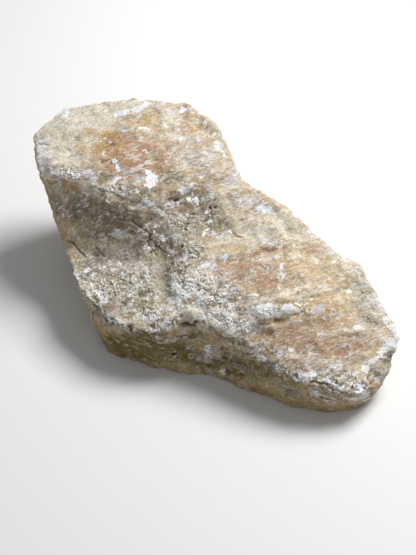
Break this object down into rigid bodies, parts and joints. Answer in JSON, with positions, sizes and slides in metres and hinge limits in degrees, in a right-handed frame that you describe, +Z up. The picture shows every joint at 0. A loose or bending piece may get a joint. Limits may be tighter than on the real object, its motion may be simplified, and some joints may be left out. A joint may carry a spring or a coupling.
{
  "type": "honeycomb calcite specimen",
  "caption": "Rough, broken lump of pale banded calcite with a high rounded back end, a steep hollow under its lip and a low sloping toe; it lies on a flat underside.",
  "frame": {"origin": "middle of the bounding box at the height of the flat underside", "axes": "+X along the lump to its low toe, +Y to its high back, +Z up from the underside"},
  "size_m": [0.335, 0.284, 0.1412],
  "materials": {
    "calcite": "rough and dull, with satin cleavage faces"
  },
  "bodies": {
    "root": {"calcite": "calcite"}
  },
  "joints": []
}
